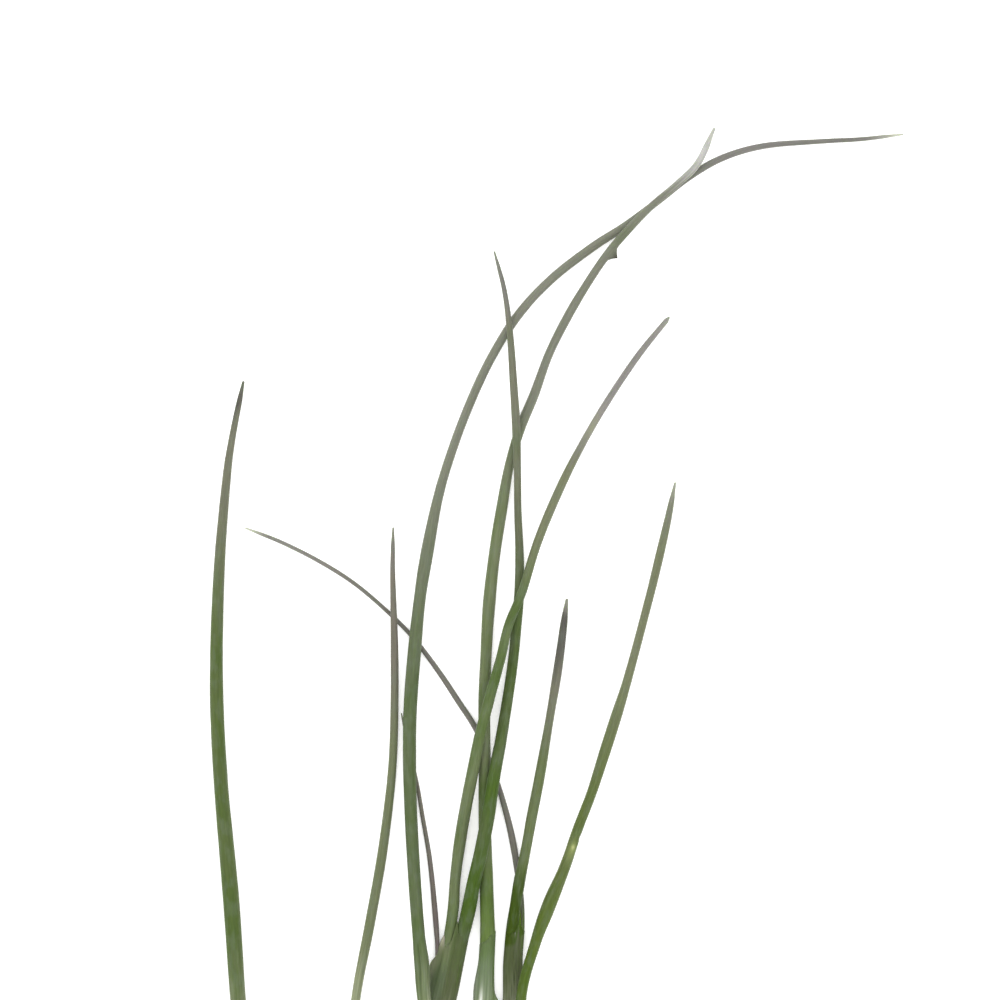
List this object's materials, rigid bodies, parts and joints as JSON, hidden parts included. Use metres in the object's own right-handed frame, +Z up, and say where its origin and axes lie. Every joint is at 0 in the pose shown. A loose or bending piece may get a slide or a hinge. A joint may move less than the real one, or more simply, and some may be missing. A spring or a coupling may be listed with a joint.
{
  "type": "chive bunch",
  "caption": "Loose bunch of fresh chives lying flat: slim hollow tapering leaves, upright and arching, with papery sheaths at their cut feet. Food, kitchen and table dressing.",
  "frame": {"origin": "on the surface that the bunch lies on, at the middle of its length and of its spread", "axes": "+Z up from the surface, +Y along the bunch from the cut feet to the tips, +X to the right as seen from above with the tips pointing away"},
  "size_m": [0.153, 0.2455, 0.0074],
  "materials": {
    "leaf_green": "fresh green hollow leaf with a waxy grey bloom, greyer towards the tip",
    "leaf_grey_green": "paler grey-green hollow leaf with a waxy bloom",
    "leaf_purple_grey": "fine young leaf, dull purple-grey",
    "sheath_papery": "thin papery leaf sheath, green above and paler towards the cut"
  },
  "bodies": {
    "root": {"leaf_far_left": "leaf_green", "leaf_left_upright": "leaf_grey_green", "leaf_tall_arching": "leaf_green", "leaf_tall_inner": "leaf_green", "leaf_centre_upright": "leaf_green", "leaf_centre_bent": "leaf_green", "leaf_right_short": "leaf_green", "leaf_right_outer": "leaf_green", "leaf_fine_arching": "leaf_purple_grey", "leaf_fine_short": "leaf_purple_grey", "sheath_centre": "sheath_papery", "sheath_inner": "sheath_papery", "sheath_right": "sheath_papery"}
  },
  "joints": []
}
